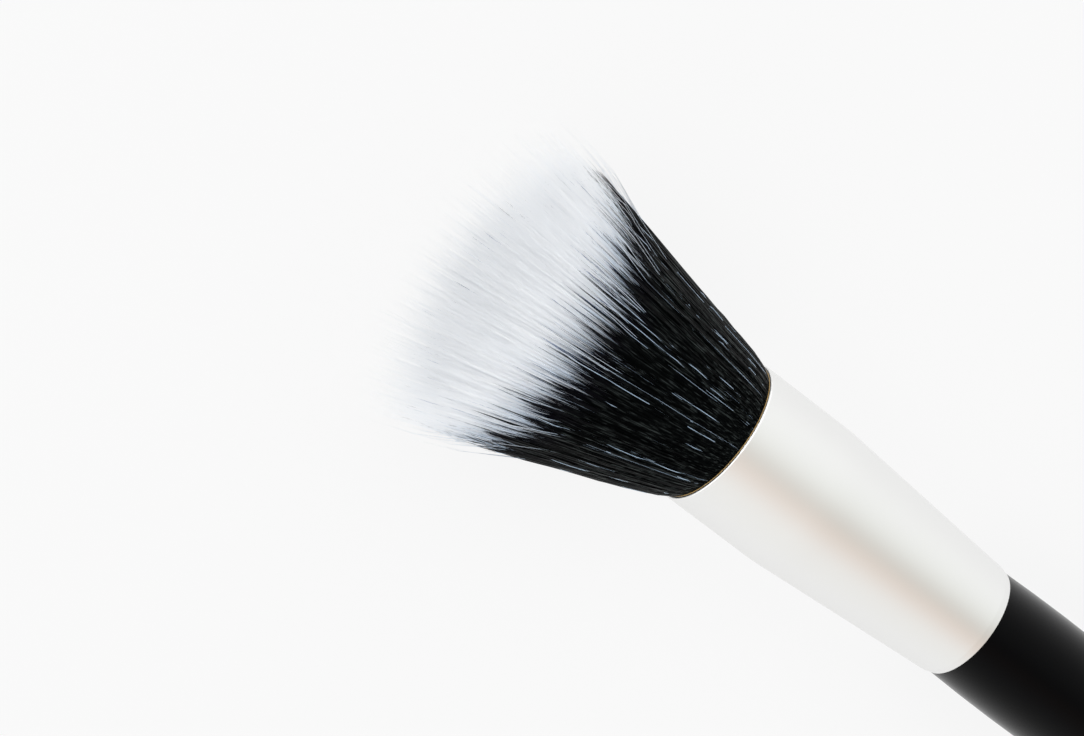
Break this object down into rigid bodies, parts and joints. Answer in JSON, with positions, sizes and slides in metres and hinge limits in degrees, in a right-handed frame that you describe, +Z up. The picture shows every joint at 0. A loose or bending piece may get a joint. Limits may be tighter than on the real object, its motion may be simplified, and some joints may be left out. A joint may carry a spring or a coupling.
{
  "type": "duo fibre face brush",
  "caption": "Round flared face brush with short black fibres under longer white ones, a tapered aluminium ferrule and a long lacquered handle.",
  "frame": {"origin": "on the floor, under the middle of the brush's bounding box as it lies", "axes": "+X along the brush from its fibre head to the end of its handle, +Y to the side away from which the head leans, +Z up from the floor it lies on"},
  "size_m": [0.1872, 0.0386, 0.0371],
  "materials": {
    "ferrule": "satin pearl anodised aluminium",
    "handle": "turned hardwood under satin black lacquer",
    "black_fibres": "fine crimped black synthetic fibre",
    "white_fibres": "fine straight white synthetic fibre",
    "glue": "cured epoxy resin",
    "tie_thread": "waxed polyester thread"
  },
  "bodies": {
    "root": {"ferrule": "ferrule", "handle": "handle", "black_fibres": "black_fibres", "white_fibres": "white_fibres", "root_glue": "glue", "handle_glue": "glue", "root_tie": "tie_thread"}
  },
  "joints": []
}
